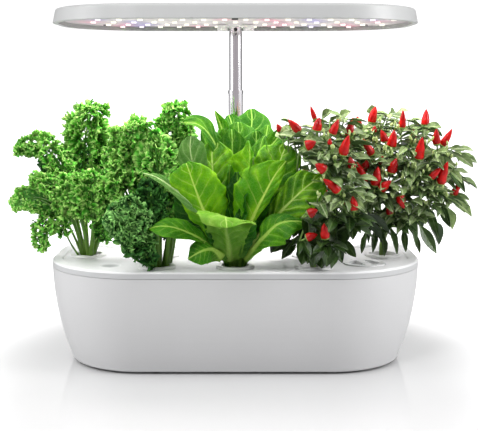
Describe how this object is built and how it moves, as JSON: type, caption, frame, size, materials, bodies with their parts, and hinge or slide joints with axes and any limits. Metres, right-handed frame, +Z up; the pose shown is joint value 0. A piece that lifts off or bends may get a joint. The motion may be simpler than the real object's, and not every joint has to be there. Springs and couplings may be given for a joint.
{
  "type": "countertop hydroponic garden",
  "caption": "White oval-cornered water base with a planted lift-off grow deck, circulation pump and a grow lamp on a telescopic chrome post.",
  "frame": {"origin": "on the resting surface, under the middle of the base", "axes": "+Z up; +X to the right and +Y to the back for someone facing the front; the post stands at +Y"},
  "size_m": [0.5148, 0.313, 0.378],
  "materials": {
    "casing": "smooth satin-gloss white ABS",
    "tank": "natural white polypropylene",
    "cover": "fine matt moulded white",
    "rubber": "soft dark rubber",
    "screw": "zinc-plated steel",
    "black_plastic": "satin black",
    "board": "green soldermask",
    "pump": "satin black",
    "magnet": "moulded dark rotor",
    "shaft": "ground stainless shaft",
    "foam": "open-cell black foam",
    "lead": "black flexible lead",
    "deck": "smooth satin-gloss white ABS",
    "socket": "white moulded socket",
    "chrome": "polished chrome tube",
    "collar": "polished end ring",
    "float": "grey float",
    "cap": "white moulded cap",
    "bracket": "milky translucent plastic",
    "lamp": "smooth satin-gloss white ABS",
    "led_board": "glossy silver-white reflector board",
    "led_white": "lit warm white chip",
    "led_red": "lit deep red chip",
    "led_blue": "lit blue chip",
    "button": "gloss black button",
    "basket": "white moulded basket",
    "sponge": "dark wet growing sponge",
    "kale": "curly green kale leaves",
    "romaine": "yellow-green lettuce leaves",
    "chilli": "grey-green leaves with red pods"
  },
  "bodies": {
    "base": {"base_shell": "casing", "water_tank": "tank", "bottom_cover": "cover", "rubber_feet": "rubber", "cover_screws": "screw", "dc_inlet": "black_plastic", "control_board": "board", "pump_housing": "pump", "pump_cover": "pump", "pump_shaft": "shaft", "pump_filter": "foam", "pump_cable": "lead"},
    "pump_rotor": {"pump_impeller": "magnet"},
    "deck": {"deck_lid": "deck", "post_socket": "socket", "socket_screws": "screw", "lower_tube": "chrome", "tube_collar": "collar"},
    "float": {"level_float": "float"},
    "water_cap": {"fill_cap": "cap"},
    "lamp": {"upper_tube": "chrome", "tube_guide": "socket", "lamp_bracket": "bracket", "lamp_housing": "lamp", "led_board": "led_board", "leds_white": "led_white", "leds_red": "led_red", "leds_blue": "led_blue", "lamp_driver": "board", "lamp_screws": "screw"},
    "lamp_switch": {"lamp_button": "button"},
    "lamp_lock": {"snap_pin": "black_plastic"},
    "pod_1": {"basket_1": "basket", "sponge_1": "sponge", "kale_left": "kale"},
    "pod_2": {"basket_2": "basket", "sponge_2": "sponge", "kale_right": "kale"},
    "pod_3": {"basket_3": "basket", "sponge_3": "sponge", "romaine": "romaine"},
    "pod_4": {"basket_4": "basket", "sponge_4": "sponge", "chilli_left": "chilli"},
    "pod_5": {"basket_5": "basket", "sponge_5": "sponge", "chilli_right": "chilli"},
    "site_1": {"site_cap_1": "cap"},
    "site_2": {"site_cap_2": "cap"},
    "site_3": {"site_cap_3": "cap"},
    "site_4": {"site_cap_4": "cap"},
    "site_5": {"site_cap_5": "cap"},
    "site_6": {"site_cap_6": "cap"},
    "site_7": {"site_cap_7": "cap"}
  },
  "joints": [
    {"name": "rotor_spin", "type": "hinge", "parent": "base", "child": "pump_rotor", "pos_m": [-0.06, 0.062, 0.038], "axis": [1, 0, 0], "continuous": true},
    {"name": "deck_lift", "type": "slide", "parent": "base", "child": "deck", "axis": [0, 0, 1], "range_m": [0, 0.06]},
    {"name": "float_travel", "type": "slide", "parent": "deck", "child": "float", "axis": [0, 0, 1], "range_m": [-0.012, 0.008]},
    {"name": "water_cap_lift", "type": "slide", "parent": "deck", "child": "water_cap", "axis": [0, 0, 1], "range_m": [0, 0.02]},
    {"name": "lamp_height", "type": "slide", "parent": "deck", "child": "lamp", "axis": [0, 0, 1], "range_m": [-0.045, 0.1]},
    {"name": "lamp_switch_press", "type": "slide", "parent": "lamp", "child": "lamp_switch", "axis": [0, 0, 1], "range_m": [0, 0.0012], "stiffness_N_per_m": 500, "springref_m": -0.0004},
    {"name": "lamp_lock_press", "type": "slide", "parent": "lamp", "child": "lamp_lock", "axis": [0, 1, 0], "range_m": [0, 0.0015], "stiffness_N_per_m": 800, "springref_m": -0.0004},
    {"name": "pod_1_lift", "type": "slide", "parent": "deck", "child": "pod_1", "axis": [0, 0, 1], "range_m": [0, 0.055]},
    {"name": "pod_2_lift", "type": "slide", "parent": "deck", "child": "pod_2", "axis": [0, 0, 1], "range_m": [0, 0.055]},
    {"name": "pod_3_lift", "type": "slide", "parent": "deck", "child": "pod_3", "axis": [0, 0, 1], "range_m": [0, 0.055]},
    {"name": "pod_4_lift", "type": "slide", "parent": "deck", "child": "pod_4", "axis": [0, 0, 1], "range_m": [0, 0.055]},
    {"name": "pod_5_lift", "type": "slide", "parent": "deck", "child": "pod_5", "axis": [0, 0, 1], "range_m": [0, 0.055]},
    {"name": "site_1_lift", "type": "slide", "parent": "deck", "child": "site_1", "axis": [0, 0, 1], "range_m": [0, 0.016]},
    {"name": "site_2_lift", "type": "slide", "parent": "deck", "child": "site_2", "axis": [0, 0, 1], "range_m": [0, 0.016]},
    {"name": "site_3_lift", "type": "slide", "parent": "deck", "child": "site_3", "axis": [0, 0, 1], "range_m": [0, 0.016]},
    {"name": "site_4_lift", "type": "slide", "parent": "deck", "child": "site_4", "axis": [0, 0, 1], "range_m": [0, 0.016]},
    {"name": "site_5_lift", "type": "slide", "parent": "deck", "child": "site_5", "axis": [0, 0, 1], "range_m": [0, 0.016]},
    {"name": "site_6_lift", "type": "slide", "parent": "deck", "child": "site_6", "axis": [0, 0, 1], "range_m": [0, 0.016]},
    {"name": "site_7_lift", "type": "slide", "parent": "deck", "child": "site_7", "axis": [0, 0, 1], "range_m": [0, 0.016]}
  ]
}
